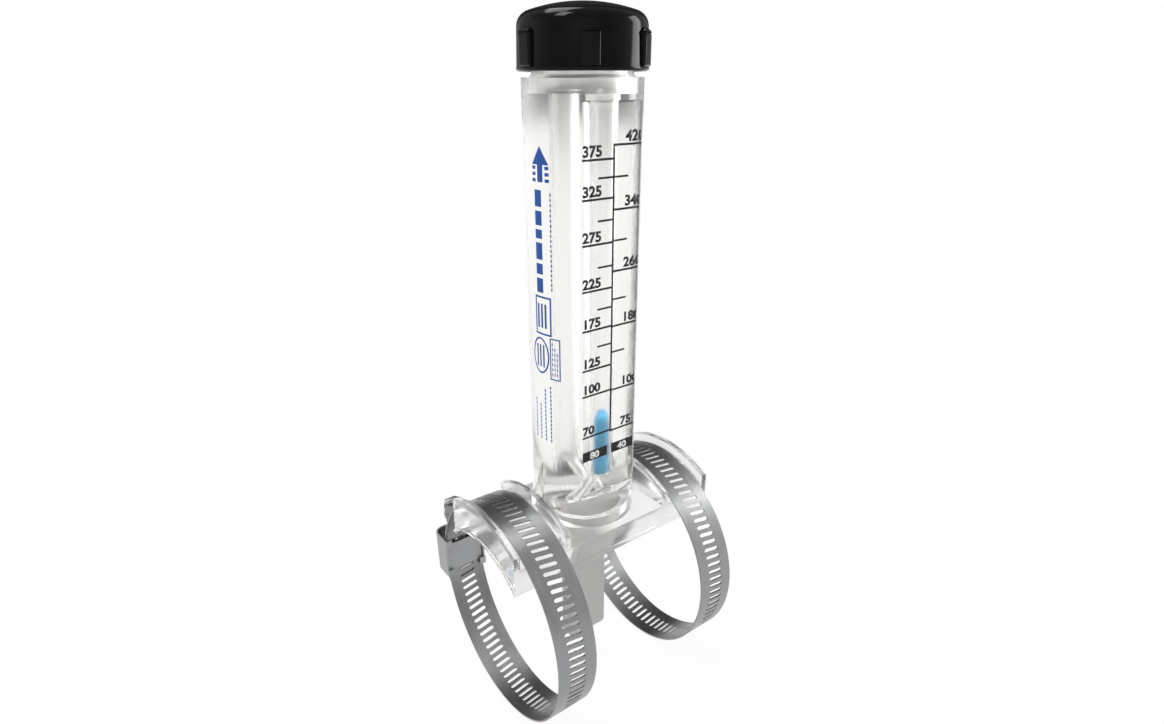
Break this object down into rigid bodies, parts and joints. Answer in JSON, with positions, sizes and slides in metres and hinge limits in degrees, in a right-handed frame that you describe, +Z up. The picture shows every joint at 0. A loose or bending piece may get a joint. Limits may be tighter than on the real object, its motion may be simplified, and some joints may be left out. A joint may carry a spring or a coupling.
{
  "type": "flow meter",
  "caption": "Clear upright float flow meter with a flat scale face, black ribbed screw cap, pipe saddle, hanging probe and slotted worm-drive band clamps.",
  "frame": {"origin": "on the axis of the pipe that the saddle sits on, straight under the middle of the tube", "axes": "+X along the pipe, -Y towards the scale, +Z up the tube towards the cap"},
  "size_m": [0.1416, 0.1461, 0.3869],
  "materials": {
    "clear_plastic": "clear, polished",
    "grey_plastic": "satin",
    "seal_rubber": "matte",
    "blue_plastic": "satin",
    "black_plastic": "gloss",
    "ring_rubber": "matte",
    "clamp_steel": "satin"
  },
  "bodies": {
    "meter": {"meter_body": "clear_plastic", "pitot_probe": "grey_plastic", "pipe_seal": "seal_rubber", "float_stop": "clear_plastic", "left_clamp_band": "clamp_steel", "left_clamp_plate": "clamp_steel", "left_clamp_housing": "clamp_steel", "right_clamp_band": "clamp_steel", "right_clamp_plate": "clamp_steel", "right_clamp_housing": "clamp_steel"},
    "float": {"flow_float": "blue_plastic"},
    "cap_seal": {"cap_ring": "ring_rubber"},
    "cap": {"screw_cap": "black_plastic"},
    "left_screw": {"left_clamp_screw": "clamp_steel"},
    "right_screw": {"right_clamp_screw": "clamp_steel"}
  },
  "joints": [
    {"name": "float_rise", "type": "slide", "parent": "meter", "child": "float", "axis": [0, 0, 1], "range_m": [0, 0.1644]},
    {"name": "cap_lift", "type": "slide", "parent": "meter", "child": "cap_seal", "axis": [0, 0, 1], "range_m": [0, 0.0075]},
    {"name": "cap_turn", "type": "hinge", "parent": "cap_seal", "child": "cap", "pos_m": [0, 0, 0.3], "axis": [0, 0, 1], "range_deg": [0, 900]},
    {"name": "left_screw_turn", "type": "hinge", "parent": "meter", "child": "left_screw", "pos_m": [-0.0518, 0.07271, 0.00471], "axis": [0, 0.0349, 0.9994], "continuous": true},
    {"name": "right_screw_turn", "type": "hinge", "parent": "meter", "child": "right_screw", "pos_m": [0.0518, 0.07271, 0.00471], "axis": [0, 0.0349, 0.9994], "continuous": true}
  ],
  "couplings": [
    {"joint": "cap_lift", "follows": "cap_turn", "m_per_rad": 0.00047746}
  ]
}
